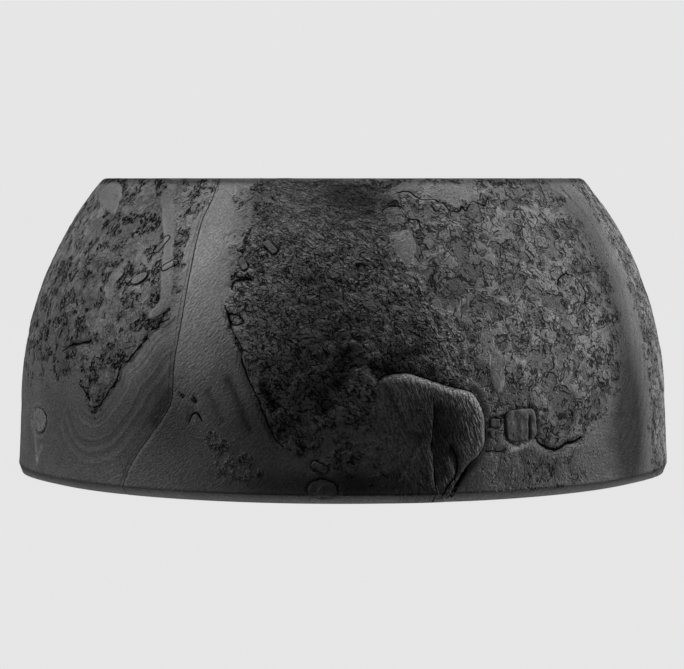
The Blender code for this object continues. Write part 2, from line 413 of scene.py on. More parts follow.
class Trace:
    """How far each skin point near a line is from it, which side it is on, and where along."""

    def __init__(self, skin, places, reach=3.0, closed=False):
        line = rounded(places, closed=closed)
        if closed:
            line = np.concatenate([line, line[:1]])
        on_side = around(np.radians(line[:, 0]), skin.profile.radius_at(line[:, 1]), line[:, 1])
        self.measure(skin, on_side, reach)

    def measure(self, skin, line, reach):
        low, high = line.min(axis=0) - reach, line.max(axis=0) + reach
        near = np.flatnonzero(((skin.points > low) & (skin.points < high)).all(axis=1))
        points = skin.points[near]
        start, way = line[:-1], np.diff(line, axis=0)
        length2 = np.maximum((way ** 2).sum(axis=1), 1e-9)
        best = np.full(len(near), np.inf)
        side = np.ones(len(near))
        along = np.zeros(len(near))
        over = np.zeros(len(near), bool)
        for k in range(len(start)):
            gap = points - start[k]
            raw = gap @ way[k] / length2[k]
            share = np.clip(raw, 0, 1)
            off = gap - share[:, None] * way[k]
            distance = np.linalg.norm(off, axis=1)
            closer = distance < best
            turn = (np.cross(way[k], off) * skin.out[near]).sum(axis=1)
            best = np.where(closer, distance, best)
            side = np.where(closer, np.sign(turn), side)
            along = np.where(closer, (k + share) / len(start), along)
            ended = ((k == 0) & (raw < 0)) | ((k == len(start) - 1) & (raw > 1))
            over = np.where(closer, ended, over)
        kept = best < reach
        self.near = near[kept]
        self.distance = best[kept]
        self.side = np.where(side[kept] == 0, 1, side[kept])
        self.along = along[kept]
        self.beyond = over[kept]

    def taper(self):
        """One along the line, fading to nothing at its two ends."""
        return smoothstep(self.along, 0, 0.12) * smoothstep(1 - self.along, 0, 0.12)


def inside(skin, outline):
    """Which skin points lie within a closed outline of places."""
    outline = rounded(outline, closed=True)
    within = np.zeros(len(skin.points), bool)
    following = np.roll(outline, -1, axis=0)
    for (a1, z1), (a2, z2) in zip(outline, following):
        if z1 == z2:
            continue
        spans = (z1 > skin.height) != (z2 > skin.height)
        crossing = a1 + (skin.height - z1) * (a2 - a1) / (z2 - z1)
        within ^= spans & (skin.angle < crossing)
    return within


def zone(skin, outline, blend):
    """One well within an outline, nothing outside it, with a soft edge this wide in mm."""
    within = inside(skin, outline)
    weight = within.astype(float)
    edge = Trace(skin, outline, reach=blend, closed=True)
    signed = np.where(within[edge.near], edge.distance, -edge.distance)
    weight[edge.near] = smoothstep(signed, -blend / 2, blend / 2)
    return weight


def streaks(skin, noise, tilt, across, along):
    """Noise drawn out into strokes that rise to the right by this tilt in degrees."""
    turn = math.radians(tilt)
    girth = np.radians(skin.angle) * 38
    u = girth * math.cos(turn) + skin.height * math.sin(turn)
    v = -girth * math.sin(turn) + skin.height * math.cos(turn)
    return layered(noise, np.stack([u * along, v * across, girth * 0], axis=1), 3)


class Relief:
    """Height over the ideal skin in mm, and what the materials need to know at each point."""

    def __init__(self, skin, noise):
        self.skin = skin
        count = len(skin.points)
        self.rise = np.zeros(count)
        self.tone = np.ones(count)
        self.lines = {name: np.full(count, 9.0) for name in ("line_a", "line_b")}
        self.near = {name: np.zeros(count) for name in ("line_a", "line_b")}
        self.bands = np.zeros(count)
        self.banded = np.zeros(count)
        self.wobble = layered(noise["wobble"], skin.points * 0.8, 2)
        self.girth = np.clip(1 + 0.9 * noise["girth"](skin.points * 0.6), 0.45, 1.9)

    def groove(self, trace, width, depth, taper=True):
        share = trace.taper() if taper else 1
        self.rise[trace.near] -= depth * share * np.exp(-(trace.distance / width) ** 2)

    def step(self, trace, height, width, side):
        """A cliff along the line: the ground on one side falls by height and comes back."""
        lower = trace.side * side > 0
        fall = height * np.exp(-trace.distance / width) * trace.taper()
        self.rise[trace.near] -= np.where(lower, fall, 0)

    def draw(self, trace, width, channel="line_a", offset=0.0, wobble=0.0):
        """Marks a dark line this wide, partly painted shade in its groove, which the material draws
        crisply, or a ring round the trace.

        A wobble makes the line stray about this far in mm, and swell and thin on its way.
        """
        if offset:
            signed = (trace.distance - offset) / width
        else:
            stray = trace.distance * trace.side + wobble * self.wobble[trace.near]
            signed = stray / (width * (self.girth[trace.near] if wobble else 1))
        mine = (trace.distance < 0.6 + offset) & (~trace.beyond | (offset > 0))
        mine &= np.abs(signed) < np.abs(self.lines[channel][trace.near])
        self.lines[channel][trace.near[mine]] = signed[mine]
        self.near[channel][trace.near[mine]] = 1


def slow_shape(relief, noise):
    """The hand-honed stone's slow unevenness."""
    swell = layered(noise["swell"], relief.skin.points * 0.055, 2)
    relief.rise += 0.06 * swell - 0.02


def zone_weights(skin, noise):
    """How much each point belongs to each kind of surface."""
    wander = noise["zones"](skin.points * 0.09)
    mellow = smoothstep(noise["zones"](skin.points * 0.06 + 31), 0.42, 0.25)
    edge = np.abs(skin.angle) + 16 * noise["zones"](skin.points * 0.07 + 57)
    back = smoothstep(edge, 82, 98) * smoothstep(np.abs(skin.angle), 70, 80)
    flat = (np.arange(len(skin.points)) >= skin.side_count).astype(float)
    left = zone(skin, LEFT_ROCK, 2.0)
    thinning = smoothstep(-skin.angle, 50, 60) * smoothstep(skin.height, 24, 8)
    left *= 1 - 0.75 * thinning
    centre = zone(skin, CENTRE_ROCK, 2.4)
    flakes = np.maximum(zone(skin, RIGHT_FLAKES, 6.5), 0.4 * zone(skin, LOW_WALL, 2))
    flakes *= 1 - 0.42 * smoothstep(skin.angle, 40, 56)
    flakes *= 1 - 0.62 * zone(skin, TOP_PATCH, 0.5)
    far_right = smoothstep(skin.angle, 62, 69) * smoothstep(skin.angle, 100, 90)
    flakes = np.maximum(flakes, 0.75 * far_right)
    crumpled = centre * (1 - flakes)
    lump = zone(skin, LUMP, 0.8)
    fold = zone(skin, FOLD, 1.0)
    crumpled *= 1 - 0.75 * lump
    crumpled *= 1 - 0.5 * zone(skin, CALM_FOOT, 2.0)
    crumpled = np.maximum(crumpled, 0.5 * zone(skin, PEBBLES, 1.5))
    left = np.maximum(left, 0.52 * zone(skin, BAND_PITS, 1.5))
    side = 1 - flat
    knots = smoothstep(noise["clusters"](skin.points * 0.8), -0.35, 0.25)
    for line, wide in ((SEAM, 0.5), (ROUGH_EDGE, 0.6), (TONGUE, 0.6), (DASH_COLUMN, 0.7)):
        trace = Trace(skin, line)
        share = np.exp(-(trace.distance / wide) ** 2) * knots[trace.near]
        left[trace.near] = np.maximum(left[trace.near], share)
    worn = 0.5 * flat * smoothstep(noise["zones"](skin.points * 0.11 + 83), 0.25, 0.5)
    rear = back * mellow
    return {
        "pitted": np.maximum(left * (1 - back), rear * smoothstep(wander, -0.15, 0.15)) * side
                  + worn,
        "crumpled": np.maximum(crumpled, rear * smoothstep(wander, 0.15, -0.15)) * side,
        "flaky": np.maximum(flakes, rear * smoothstep(wander, 0.3, 0.5)) * side,
        "lump": lump * side,
        "fold": fold * side,
        "flat": flat,
    }


def rough_textures(relief, zones, noise):
    """The rock's grain: crumpled leaves, lifted flakes and pits."""
    skin = relief.skin
    points = skin.points
    warp = np.stack([noise[name](points * 0.45) for name in ("warp_x", "warp_y", "warp_z")], axis=1)
    bent = points + 0.9 * warp
    leaves = ridged(noise["leaves"], bent * 0.42, 2)
    relief.rise += zones["crumpled"] * 0.17 * (leaves - 0.55)
    plates = layered(noise["plates"], bent * 0.33, 3, 0.6)
    lifted = sum(smoothstep(plates, edge - 0.08, edge + 0.08) for edge in PLATE_EDGES)
    relief.rise += zones["flaky"] * (0.07 * lifted - 0.07)
    relief.rise += zones["crumpled"] * (0.05 * lifted - 0.06)
    relief.rise += zones["pitted"] * (0.05 * lifted - 0.05)
    hollows = smoothstep(layered(noise["pits"], bent * 0.8, 2), 0.25, 0.6)
    hollows *= smoothstep(noise["clusters"](points * 0.24), -0.15, 0.3)
    relief.rise -= 0.10 * hollows * zones["pitted"]
    return plates


def lump_shape(relief, zones, noise):
    """The raised lobe low on the right, with its bright rim, its crease and inner folds."""
    skin = relief.skin
    rim = Trace(skin, LUMP_RIM, reach=6)
    within = rim.side < 0
    shoulder = 1 - np.exp(-rim.distance / 0.5)
    decay = np.exp(-rim.distance / 4.5)
    rise = np.where(within, 0.62 * shoulder * decay, 0)
    relief.rise[rim.near] += rise * smoothstep(rim.along, 0, 0.15)
    relief.groove(rim, 0.35, 0.16)
    outside = np.where(within, 0, 0.20 * np.exp(-rim.distance / 0.8))
    relief.rise[rim.near] -= outside * rim.taper()
    crease = Trace(skin, CREASE, reach=4)
    right = crease.side > 0
    hollow = 0.28 * np.exp(-crease.distance / 1.8)
    relief.rise[crease.near] -= np.where(right, hollow, 0) * smoothstep(crease.along, 0, 0.2)
    relief.draw(crease, 0.09)
    hatch = streaks(skin, noise["hatch"], -68, 1.3, 0.28)
    relief.rise += 0.05 * hatch * zones["lump"]
    for line in (INNER_FOLD, OUTER_FOLD):
        fold = Trace(skin, line)
        relief.groove(fold, 0.28, 0.20)
        relief.step(fold, 0.16, 0.8, -1)
        relief.draw(fold, 0.07, "line_b")
    relief.draw(rim, 0.10, "line_b")


def lay_bands(relief, trace, share, swell):
    """Layers that run alongside a line: low swells here, and fine strata in the material."""
    share = share * (trace.near < relief.skin.side_count)
    relief.bands[trace.near] = np.where(share > 0, trace.distance, relief.bands[trace.near])
    relief.banded[trace.near] = np.maximum(relief.banded[trace.near], share)
    turns = 2 * math.pi * trace.distance
    wave = np.cos(turns / 1.25) + 0.6 * np.cos(turns / 0.71)
    relief.rise[trace.near] += swell * wave * share


def fold_shape(relief, zones):
    """The folded layers under the tongue of rough rock."""
    tongue = Trace(relief.skin, TONGUE, reach=9)
    share = zones["fold"][tongue.near] * smoothstep(tongue.distance, 9, 3)
    lay_bands(relief, tongue, share * (1 - 0.5 * smoothstep(tongue.along, 0.75, 0.95)), 0.016)
    relief.step(tongue, 0.22, 0.7, 1)
    relief.draw(tongue, 0.08, wobble=0.25)


def margin_shape(relief, zones):
    """The bands beyond the flaky rock's right edge."""
    margin = Trace(relief.skin, MARGIN, reach=14)
    share = np.where(margin.side > 0, smoothstep(margin.distance, 0.2, 1), 0)
    share *= smoothstep(margin.distance, 14, 8) * (1 - zones["flaky"][margin.near])
    lay_bands(relief, margin, 0.5 * share, 0.012)


def cracks(relief):
    """The lines that cross the stone."""
    skin = relief.skin
    fissure = Trace(skin, FISSURE)
    relief.groove(fissure, 0.18, 0.06, taper=False)
    low = smoothstep(fissure.along, 0.35, 0.6)
    left = fissure.side < 0
    relief.rise[fissure.near] -= np.where(left, 0.16 * np.exp(-fissure.distance / 1.1), 0) * low
    relief.draw(fissure, 0.055)
    # The last number is the width of the dark line drawn along the groove, partly painted shade in it;
    # 0 draws none.
    for places, width, depth, line_shade in (
        (ROUGH_EDGE, 0.25, 0.06, 0), (FOLD_EDGE, 0.30, 0.22, 0.09), (FURROW, 0.5, 0.14, 0),
        (SHORT_FURROW, 0.5, 0.08, 0), (INNER_FURROW, 0.5, 0.22, 0), (SEAM, 0.45, 0.08, 0),
        (LEFT_CLEFT, 0.3, 0.25, 0.11), (CURL, 0.3, 0.16, 0.08), (LEDGE_FOOT, 0.25, 0.16, 0.08),
        (SWIRL, 0.25, 0.12, 0.08), (DOUBLE_CLEFT, 0.25, 0.22, 0.13), (THREAD, 0.2, 0.08, 0.06),
        (JAG, 0.3, 0.26, 0.13), (TOP_FLAKE, 0.22, 0.12, 0.08), (LOW_FLAKE, 0.22, 0.10, 0.07),
        (PALE_FLAKE, 0.22, 0.08, 0.07),
    ):
        trace = Trace(skin, places)
        relief.groove(trace, width, depth)
        if line_shade:
            relief.draw(trace, line_shade, wobble=0.14)
    for places in BACK_CRACKS:
        crack = Trace(skin, places)
        relief.groove(crack, 0.2, 0.08)
        relief.draw(crack, 0.055)
    for places in WRINKLES:
        wrinkle = Trace(skin, places)
        relief.groove(wrinkle, 0.5, 0.07)
        relief.draw(wrinkle, 0.04)
    for places, width, depth in ((VALLEY, 1.4, 0.16), (HOLLOW, 1.0, 0.20)):
        relief.groove(Trace(skin, places), width, depth)
    upper = Trace(skin, UPPER_CLEFT)
    relief.groove(upper, 0.2, 0.12)
    relief.draw(upper, 0.08, "line_b")
    beak = Trace(skin, BEAK, closed=True)
    relief.groove(beak, 0.25, 0.14, taper=False)
    relief.draw(beak, 0.09, "line_b")
    ledge = Trace(skin, LEDGE)
    relief.step(ledge, 0.30, 0.7, 1)
    relief.groove(ledge, 0.2, 0.08)


def smooth_patches(relief, zones):
    """Polished facets among the pits."""
    patches = (LEFT_FACET, 0.06), (PALE_STRIP, 0.05), (OVAL_PLATE, 0.04), (UPPER_PLATE, 0.04)
    for outline, lift in patches:
        patch = zone(relief.skin, outline, 0.5)
        relief.rise *= 1 - 0.85 * patch
        relief.rise += lift * patch
        for name in ("pitted", "flaky", "crumpled"):
            zones[name] = zones[name] * (1 - patch)
    for rod in (LONG_ROD, SHORT_ROD):
        line = Trace(relief.skin, rod)
        relief.groove(line, 0.75, 0.12, taper=False)
        relief.rise[line.near] += 0.16 * np.exp(-(line.distance / 0.34) ** 2)
        relief.draw(line, 0.07, "line_b", 0.40)


def sockets(relief, nodes):
    """Dents that the grains sit in, a clearance wider than each grain."""
    skin = relief.skin
    for name, node in nodes.items():
        if name == "stone_body":
            continue
        low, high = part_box(name)
        low, high = np.array(low) / MM - 1, np.array(high) / MM + 1
        near = np.flatnonzero(((skin.points > low) & (skin.points < high)).all(axis=1))
        corners = [vertex.co / MM for vertex in node.data.vertices]
        tree = BVHTree.FromPolygons(corners, [tuple(face.vertices) for face in node.data.polygons])
        gap = np.array([tree.find_nearest(Vector(point))[3] for point in skin.points[near]])
        hole = smoothstep(gap, DENT, 0.05)
        relief.rise[near] = relief.rise[near] * (1 - hole) - DENT * hole


def cavity_of(relief):
    """How far each side point lies below its neighbourhood, 0 to 1."""
    skin = relief.skin
    grid = relief.rise[:skin.side_count].reshape(skin.row_count, skin.column_count)
    blurred = grid.copy()
    for _ in range(3):
        blurred = (np.roll(blurred, 1, 1) + blurred + np.roll(blurred, -1, 1)) / 3
        padded = np.concatenate([blurred[:1], blurred, blurred[-1:]])
        blurred = (padded[:-2] + padded[1:-1] + padded[2:]) / 3
    sunk = np.zeros(len(skin.points))
    sunk[:skin.side_count] = np.clip((blurred - grid) / 0.07, -1, 1).ravel()
    return sunk


# Tone spots on the side: angle, height, half-widths in degrees and mm, change of tone. They are partly
# the rock's own blotches and partly painted light and shade: painted shade on the front's dark middle
# and lower right, painted light on the far left and far right edges.
TONE_AND_PAINTED_LIGHT_SPOTS = (
    # The left rock, the smooth band beside the fissure, and painted light on the far left edge.
    (-26, 31, 5, 8, 0.72), (-24, 22, 5, 6, 0.12), (-32, 20, 2.5, 6, -0.28), (-36.5, 27, 3, 8, 0.15),
    (-50, 31, 5, 4, -0.12), (-41, 34.5, 4, 2, -0.25), (-44, 25, 4, 4, 0.18), (-79, 20, 6, 8, 0.35),
    (-38, 9, 11, 7, -0.42), (-30, 11, 3, 3.5, -0.12), (-21, 6, 7, 6, -0.28), (-58, 8, 8, 8, -0.2),
    # The dark middle, mostly painted shade on the front.
    (-5, 27, 14, 8, -0.2), (-4, 20, 5, 6, -0.3), (-2, 34.4, 12, 2, -0.4), (-18, 32, 3, 4, -0.3),
    (1, 34.5, 4, 2, -0.25), (7, 32.5, 5, 2.5, -0.35), (-4, 11, 8, 6, -0.3), (-12, 8, 4, 5, -0.3),
    (2, 6, 5, 4, -0.2), (5, 3, 14, 3, -0.2), (-1, 2, 11, 1.2, -0.5),
    # The lump and the rock round it, with painted shade in the hollow right of its crease.
    (15, 9.5, 3, 4, -0.55), (16.8, 9, 1.6, 3.5, -0.1), (20, 5, 4, 4, -0.3), (24, 3.5, 3, 3, 0.35),
    (17.5, 15.5, 3, 2.5, 0.3), (32, 14, 4, 3, 0.22), (30, 3, 8, 4, -0.25),
    # The flaky right, its margin and the far right: painted shade on the lower right, a painted
    # highlight on the far right edge.
    (23, 34.3, 5, 1.4, -0.12), (36, 20, 5, 3, 0.1), (47, 28, 8, 7, -0.1), (26, 14.5, 1.2, 2, 0.25),
    (12, 28.2, 2, 1.5, 0.2), (55, 30, 6, 5, -0.25), (59, 24, 4, 6, -0.2), (57, 12, 4, 10, -0.5),
    (59, 8, 5, 8, -0.32), (50, 4, 12, 6, -0.48), (82, 12, 10, 14, 0.5), (79, 8, 4, 6, 0.6),
)
# Soft streaks of tone along a line: the line, its half-width in mm, change of tone at its middle.
# Painted shade darkens the valley, the hollow, the wedge and the furrows; a painted highlight
# brightens the ledge's top and the lump's rim; the two tails are pale slivers of the rock.
TONE_AND_PAINTED_LIGHT_STREAKS = (
    (VALLEY, 1.2, -0.6), (HOLLOW, 0.9, -0.6), (LEFT_TAIL, 0.35, 1.0), (RIGHT_TAIL, 0.3, 0.8),
    (WEDGE, 0.9, -0.35), (LEDGE, 0.5, 1.4), (RIM_PAINTED_HIGHLIGHT, 0.38, 1.2), (FURROW, 0.5, -0.35),
    (SHORT_FURROW, 0.4, -0.25), (INNER_FURROW, 0.8, -0.5),
)
# Tone of the flat top's edge, painted shade; of the crease above the chamfer (a share), painted shade;
# and of the chamfer, painted light from below that grows towards the base.
TOP_EDGE_PAINTED_SHADE = 0.45
FOOT_CREASE_PAINTED_SHADE = 0.55
CHAMFER_PAINTED_LIGHT = 1.8


def tone_at(angle, height):
    """The rock's tone at places on the side, about 1, with painted light and shade in its spots."""
    tone = np.ones(len(angle))
    for spot_angle, spot_height, wide, tall, change in TONE_AND_PAINTED_LIGHT_SPOTS:
        reach = ((angle - spot_angle) / wide) ** 2 + ((height - spot_height) / tall) ** 2
        tone += change * np.exp(-0.5 * reach)
    return np.clip(tone, 0.14, 3)


def tones(relief, zones, profile):
    """Sets each point's tone: spots and streaks that are partly painted light and shade, painted shade
    along the foot's crease and the top's edge, and painted light on the chamfer.
    """
    skin = relief.skin
    # Tone spots, partly painted light and shade.
    tone = tone_at(skin.angle, skin.height)
    # Painted shade along the valley, hollow, wedge and furrows, painted highlight on the ledge and the
    # rim, pale tails.
    for line, wide, change in TONE_AND_PAINTED_LIGHT_STREAKS:
        trace = Trace(skin, line)
        tone[trace.near] *= 1 + change * np.exp(-(trace.distance / wide) ** 2) * trace.taper()
    # Painted shade in the crease above the chamfer.
    line = smoothstep(np.abs(skin.height - CHAMFER_HEIGHT - 0.1), 0.22, 0.08)
    tone = tone * (1 - line) + FOOT_CREASE_PAINTED_SHADE * line * np.minimum(tone, 1)
    # Painted shade on the flat top's rounded edge.
    edge = smoothstep(skin.height, profile.height - 0.75, profile.height - 0.45)
    tone = tone * (1 - edge) + TOP_EDGE_PAINTED_SHADE * edge
    # Painted light on the chamfer, brighter towards the base, standing in for light from the floor.
    chamfer = smoothstep(skin.height, 1.1, 0.95)
    chamfer_painted_light = CHAMFER_PAINTED_LIGHT * (0.35 + 0.65 * smoothstep(skin.height, 1, 0))
    tone = tone * (1 - chamfer) + chamfer_painted_light * chamfer
    relief.tone = np.where(zones["flat"] > 0, 1, tone)


def mesh_of(name, points, faces, attributes):
    mesh = bpy.data.meshes.new(name)
    mesh.from_pydata((points * MM).tolist(), [], faces)
    for key, values in attributes.items():
        layer = mesh.attributes.new(key, "FLOAT", "POINT")
        layer.data.foreach_set("value", np.asarray(values, np.float32))
    mesh.shade_smooth()
    piece = bpy.data.objects.new(name, mesh)
    bpy.context.scene.collection.objects.link(piece)
    return piece


def stone_skin(frame, profile):
    noise = {name: Noise(seed) for name, seed in NOISE_SEEDS.items()}
    skin = Skin(profile)
    relief = Relief(skin, noise)
    zones = zone_weights(skin, noise)
    slow_shape(relief, noise)
    plates = rough_textures(relief, zones, noise)
    smooth_patches(relief, zones)
    lump_shape(relief, zones, noise)
    fold_shape(relief, zones)
    margin_shape(relief, zones)
    cracks(relief)
    sockets(relief, frame["nodes"])
    foot = smoothstep(skin.height, 0.5, 2.2)
    top = smoothstep(profile.height - skin.height, 0.05, 0.7)
    calm = np.where(zones["flat"] > 0, 0.25, 1) * (0.15 + 0.85 * foot) * (0.35 + 0.65 * top)
    relief.rise = np.minimum(relief.rise, MOST_RISE) * calm
    tones(relief, zones, profile)
    # The tone carries painted light and shade; the material paints shade where the cavity sinks and
    # light where it rises.
    attributes = {
        "tone": relief.tone, "cavity": cavity_of(relief), "plates": plates,
        "crumpled": zones["crumpled"], "lump": zones["lump"],
        "flaky": zones["flaky"], "pitted": zones["pitted"], "flat": zones["flat"],
        "bands": relief.bands, "banded": relief.banded,
        "line_a": relief.lines["line_a"], "line_a_near": relief.near["line_a"],
        "line_b": relief.lines["line_b"], "line_b_near": relief.near["line_b"],
    }
    points = skin.points + skin.out * relief.rise[:, None]
    piece = mesh_of("stone_skin", points, skin.faces, attributes)
    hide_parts("stone_body")
    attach(piece, "root")
    return piece


class Tree:
    """Short calls that build one material's nodes."""

    def __init__(self, name):
        self.material = bpy.data.materials.new(name)
        self.material.use_nodes = True
        self.nodes = self.material.node_tree.nodes
        self.shader = self.nodes["Principled BSDF"]

    def feed(self, socket, value):
        if isinstance(value, bpy.types.NodeSocket):
            self.material.node_tree.links.new(value, socket)
        else:
            socket.default_value = value

    def node(self, kind, inputs, **settings):
        made = self.nodes.new(kind)
        for name, value in settings.items():
            setattr(made, name, value)
        for key, value in inputs.items():
            self.feed(made.inputs[key], value)
        return made

    def math(self, operation, *values):
        made = self.node("ShaderNodeMath", {}, operation=operation)
        for socket, value in zip(made.inputs, values):
            self.feed(socket, value)
        return made.outputs[0]

    def chain(self, operation, values):
        total = values[0]
        for value in values[1:]:
            total = self.math(operation, total, value)
        return total

    def times(self, *values):
        return self.chain("MULTIPLY", values)

    def most(self, *values):
        return self.chain("MAXIMUM", values)

    def scaled(self, value, scale, offset):
        return self.math("MULTIPLY_ADD", value, scale, offset)

    def fade(self, value, low, high, start=0.0, end=1.0):
        """From start to end as the value goes from low to high, with soft ends."""
        inputs = {"Value": value, "From Min": low, "From Max": high, "To Min": start, "To Max": end}
        return self.node("ShaderNodeMapRange", inputs, interpolation_type="SMOOTHSTEP").outputs[0]

    def blend(self, share, first, second):
        inputs = {0: share, 2: first, 3: second}
        return self.node("ShaderNodeMix", inputs, data_type="FLOAT").outputs[0]

    def read(self, name):
        return self.node("ShaderNodeAttribute", {}, attribute_name=name).outputs["Fac"]

    def place(self, scale=(1, 1, 1)):
        """Position on the object in mm, stretched by the scale."""
        spot = self.node("ShaderNodeTexCoord", {}).outputs["Object"]
        stretch = tuple(part / MM for part in scale)
        return self.node("ShaderNodeMapping", {"Vector": spot, "Scale": stretch}).outputs[0]

    def stroked(self, tilt, along, across):
        """Position in mm, turned to strokes that rise to the right by tilt degrees, and stretched."""
        spot = self.node("ShaderNodeTexCoord", {}).outputs["Object"]
        stretch = (MM / along, MM, MM / across)
        turn = (0, -math.radians(tilt), 0)
        inputs = {"Vector": spot, "Rotation": turn, "Scale": stretch}
        return self.node("ShaderNodeMapping", inputs, vector_type="TEXTURE").outputs[0]

    def noise(self, place, scale, detail=2.0, rough=0.5, bend=0.0):
        inputs = {"Vector": place, "Scale": scale, "Detail": detail, "Roughness": rough}
        inputs["Distortion"] = bend
        return self.node("ShaderNodeTexNoise", inputs).outputs[0]

    def bump(self, height, distance, strength):
        inputs = {"Height": height, "Distance": distance, "Strength": strength}
        return self.node("ShaderNodeBump", inputs).outputs[0]


# The basalt's base colour and specular level where its tone is 1.
BASALT = 0.10
SHEEN = 0.28


def contour(tree, value, edge, width):
    """One where the value passes the edge."""
    gap = tree.math("ABSOLUTE", tree.math("SUBTRACT", value, edge))
    return tree.fade(gap, width, width * 0.4)


def crease_net(tree, place, scale, width, bend=0.8):
    """Thin broken lines, one where a slow noise crosses its middle."""
    lines = contour(tree, tree.noise(place, scale, 1.0, 0.5, bend), 0.5, width)
    return tree.times(lines, tree.fade(tree.noise(place, scale * 0.6, 1.0), 0.38, 0.46))


def painted_line_shade(tree, name):
    """One on a marked line, with a slightly ragged edge: a dark line that is partly the crack's own
    dark and partly painted shade in its groove.
    """
    fray = tree.scaled(tree.noise(tree.place(), 2.2, 3.0), 1.2, -0.6)
    offset = tree.math("ADD", tree.read(name), fray)
    line_shade = tree.fade(tree.math("ABSOLUTE", offset), 1.25, 0.55)
    return tree.times(line_shade, tree.fade(tree.read(name + "_near"), 0.35, 0.75))


def tattered(tree, place, name):
    """A zone's weight with its soft edge broken up into tatters."""
    tatter = tree.scaled(tree.noise(place, 0.7, 3.0, 0.6), 1.4, -0.7)
    return tree.fade(tree.math("ADD", tree.read(name), tatter), 0.4, 0.6)


def flake_lines(tree, place):
    """The stepped plates, and the ragged dark outlines of them and of smaller chips."""
    wander = tree.scaled(tree.noise(place, 1.1, 1.5, 0.5, 0.5), 0.9, -0.45)
    plates = tree.math("ADD", tree.read("plates"), wander)
    large = tree.most(*(contour(tree, plates, edge, 0.09) for edge in PLATE_EDGES))
    chips = contour(tree, tree.noise(place, 0.62, 1.0, 0.55, 1.4), 0.5, 0.036)
    broken = tree.fade(tree.noise(place, 0.8, 1.0), 0.40, 0.47)
    lifted = tree.math("ADD", *(tree.fade(plates, edge - 0.05, edge + 0.05) for edge in PLATE_EDGES))
    return lifted, tree.times(tree.most(large, chips), broken)


def crumple_lines(tree):
    """Dense short creases that mostly fall to the right."""
    bold = crease_net(tree, tree.stroked(-38, 0.6, 1.3), 0.85, 0.036, 1.2)
    cross = crease_net(tree, tree.stroked(12, 0.6, 1.3), 1.15, 0.034)
    hair = crease_net(tree, tree.stroked(-62, 0.6, 1.4), 1.5, 0.042)
    return tree.most(bold, cross, hair)


def worm_lines(tree, place):
    """Clusters of short dark worm-shaped pits."""
    long = crease_net(tree, tree.stroked(45, 0.7, 1.4), 1.25, 0.055)
    short = crease_net(tree, tree.stroked(60, 0.8, 1.2), 1.9, 0.07)
    clusters = tree.fade(tree.noise(place, 0.5, 2.0, 0.6), 0.49, 0.55)
    return tree.times(tree.most(long, short), clusters), clusters


def strata(tree):
    """Fine layers that follow the bands: their shade about 0.5, and thin dark lines between."""
    depth = tree.math("ADD", tree.read("bands"), tree.noise(tree.place(), 0.25, 2.0))
    spot = tree.node("ShaderNodeCombineXYZ", {"X": depth}).outputs[0]
    return tree.noise(spot, 1.4, 3.0, 0.65), contour(tree, tree.noise(spot, 0.7, 1.0), 0.5, 0.05)


def basalt_marks(tree):
    """The rock's zones, layers and dark marks. Each goes from 0 to 1, but lifted goes to 2."""
    place = tree.place()
    flaky, crumpled, pitted = (tattered(tree, place, zone) for zone in ("flaky", "crumpled", "pitted"))
    lump, flat, banded = (tree.read(zone) for zone in ("lump", "flat", "banded"))
    rock = tree.most(flaky, crumpled, pitted)
    lifted, outline = flake_lines(tree, place)
    outlined = tree.blend(crumpled, tree.most(flaky, tree.times(pitted, 0.35)), 0.25)
    height = tree.node("ShaderNodeSeparateXYZ", {"Vector": place}).outputs["Z"]
    creased = tree.times(rock, tree.fade(height, 34, 26, 0.45, 1.0), tree.blend(crumpled, 0.15, 1.0))
    worms, clusters = worm_lines(tree, place)
    layers, seams = strata(tree)
    hatch = tree.noise(tree.stroked(-72, 0.4, 1.6), 2.4, 1.0, 0.5, 0.4)
    return SimpleNamespace(
        place=place, flaky=flaky, crumpled=crumpled, pitted=pitted, rock=rock,
        lump=lump, flat=flat, banded=banded, lifted=lifted, layers=layers, hatch=hatch,
        outline=tree.times(outline, outlined),
        creases=tree.times(crumple_lines(tree), creased),
        worms=tree.times(worms, tree.most(pitted, tree.times(flaky, 0.38))),
        clusters=tree.times(clusters, pitted),
        specks=tree.fade(tree.noise(place, 2.6, 1.0, 0.5, 0.3), 0.72, 0.76),
        seams=tree.times(seams, banded),
        hatch_lines=tree.times(contour(tree, hatch, 0.46, 0.07), lump),
        line_shade=tree.most(painted_line_shade(tree, "line_a"), painted_line_shade(tree, "line_b")),
    )


